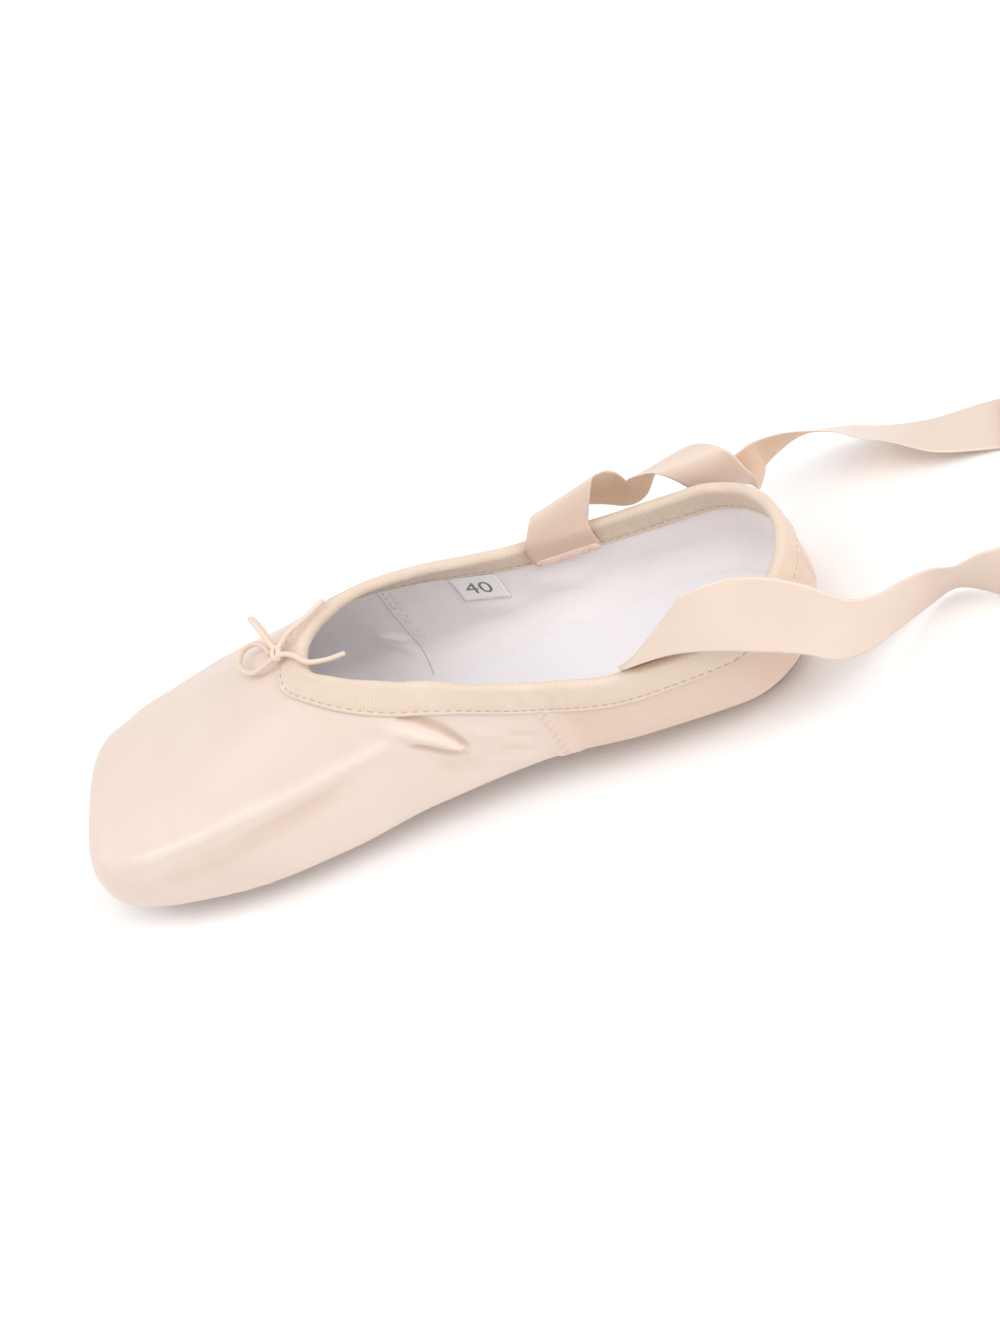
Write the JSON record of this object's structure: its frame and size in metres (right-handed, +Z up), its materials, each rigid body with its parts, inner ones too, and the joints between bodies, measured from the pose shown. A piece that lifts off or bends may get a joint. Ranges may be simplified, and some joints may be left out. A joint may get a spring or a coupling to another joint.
{
  "type": "pointe shoe",
  "caption": "Satin pointe shoe with a stiff box toe, low quarters, bound collar, leather outsole, two sewn ribbons and a tied drawstring bow.",
  "frame": {"origin": "on the floor plane under the middle of the heel seat, 45 mm from the back of the heel", "axes": "+X toward the toe, +Y toward the wearer's left, +Z up"},
  "size_m": [0.4435, 0.1355, 0.0695],
  "materials": {
    "satin": "smooth satin with a soft directional sheen",
    "sole_leather": "sueded leather",
    "insole_cloth": "plain woven cotton",
    "grosgrain": "ribbed matt tape",
    "ribbon_satin": "satin ribbon",
    "tag_cloth": "white woven label",
    "drawstring": "round braided cord"
  },
  "bodies": {
    "root": {"upper": "satin", "outsole": "sole_leather", "insole": "insole_cloth", "binding": "grosgrain", "ribbon_far": "ribbon_satin", "ribbon_near": "ribbon_satin", "size_tag": "tag_cloth", "drawstring_knot": "drawstring", "drawstring_loop_round": "drawstring", "drawstring_loop_narrow": "drawstring", "drawstring_end_up": "drawstring", "drawstring_end_right": "drawstring"}
  },
  "joints": []
}
